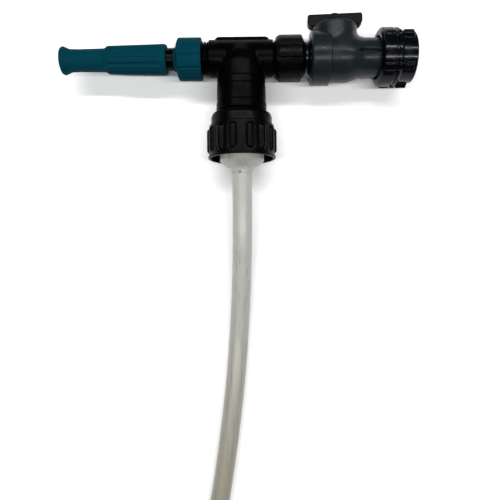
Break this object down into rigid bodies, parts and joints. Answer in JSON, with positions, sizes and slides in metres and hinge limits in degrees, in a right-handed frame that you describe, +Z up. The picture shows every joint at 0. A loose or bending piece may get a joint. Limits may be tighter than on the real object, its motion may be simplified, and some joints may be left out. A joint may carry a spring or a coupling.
{
  "type": "gravel vacuum siphon",
  "caption": "Tap-driven gravel vacuum siphon: swivel tap nut, ball valve, tee with jet, twist nozzle, and clear hose coiled to its gravel tube.",
  "frame": {"origin": "centre of the tap nut's mouth face, on the arm's axis", "axes": "+X out of the tap nut's mouth along the arm, +Z up with the set lying on a table, +Y away from the hose branch, towards the valve handle"},
  "size_m": [0.3357, 0.8072, 0.0669],
  "materials": {
    "black_plastic": "moulded black plastic with a soft sheen",
    "grey_plastic": "satin dark grey moulded plastic",
    "teal_plastic": "satin teal moulded plastic",
    "milky_hose": "milky translucent flexible tube",
    "black_rubber": "matt seal rubber",
    "white_plastic": "plain white plastic",
    "brass": "machined",
    "steel": "bright screw steel",
    "clear_plastic": "clear rigid plastic",
    "strap_fabric": "woven strap"
  },
  "bodies": {
    "pump_head": {"valve_neck": "black_plastic", "coupling_tail": "black_plastic", "tee_body": "black_plastic", "branch_flange": "black_plastic", "nozzle_tail": "black_plastic", "nozzle_core": "black_plastic", "valve_body": "grey_plastic", "valve_cap": "grey_plastic", "gravel_tube_cap": "teal_plastic", "hose_cuff": "milky_hose", "suction_hose": "milky_hose", "hose_coil": "milky_hose", "hose_tail": "milky_hose", "tap_washer": "black_rubber", "stem_o_ring": "black_rubber", "coupling_washer": "black_rubber", "union_washer": "black_rubber", "nozzle_washer": "black_rubber", "ball_seat_inlet": "white_plastic", "ball_seat_outlet": "white_plastic", "jet_insert": "white_plastic", "tap_retainer": "white_plastic", "gravel_guard": "white_plastic", "gravel_tube": "clear_plastic", "coil_ties": "strap_fabric"},
    "handle": {"valve_handle": "black_plastic", "handle_screw": "steel", "valve_stem": "brass", "valve_ball": "white_plastic"},
    "tap_nut": {"tap_nut": "black_plastic"},
    "coupling_nut": {"coupling_nut": "black_plastic"},
    "nozzle_nut": {"nozzle_nut": "teal_plastic"},
    "union_nut": {"union_nut": "black_plastic"},
    "twist": {"core_o_ring": "black_rubber"},
    "sleeve": {"nozzle_sleeve": "teal_plastic"}
  },
  "joints": [
    {"name": "handle_turn", "type": "hinge", "parent": "pump_head", "child": "handle", "pos_m": [-0.0615, 0, 0], "axis": [0, 1, 0], "range_deg": [-85.4, 4.6]},
    {"name": "tap_nut_spin", "type": "hinge", "parent": "pump_head", "child": "tap_nut", "pos_m": [-0.014, 0, 0], "axis": [1, 0, 0], "continuous": true},
    {"name": "coupling_nut_spin", "type": "hinge", "parent": "pump_head", "child": "coupling_nut", "pos_m": [-0.098, 0, 0], "axis": [1, 0, 0], "continuous": true},
    {"name": "nozzle_nut_spin", "type": "hinge", "parent": "pump_head", "child": "nozzle_nut", "pos_m": [-0.179, 0, 0], "axis": [1, 0, 0], "continuous": true},
    {"name": "union_nut_spin", "type": "hinge", "parent": "pump_head", "child": "union_nut", "pos_m": [-0.137, -0.06, 0], "axis": [0, 1, 0], "continuous": true},
    {"name": "nozzle_twist", "type": "hinge", "parent": "pump_head", "child": "twist", "pos_m": [-0.2268, 0, 0], "axis": [-1, 0, 0], "range_deg": [-360, 360]},
    {"name": "nozzle_travel", "type": "slide", "parent": "twist", "child": "sleeve", "axis": [-1, 0, 0], "range_m": [-0.0041, 0.0041]}
  ],
  "couplings": [
    {"joint": "nozzle_travel", "follows": "nozzle_twist", "m_per_rad": 0.00063662}
  ]
}
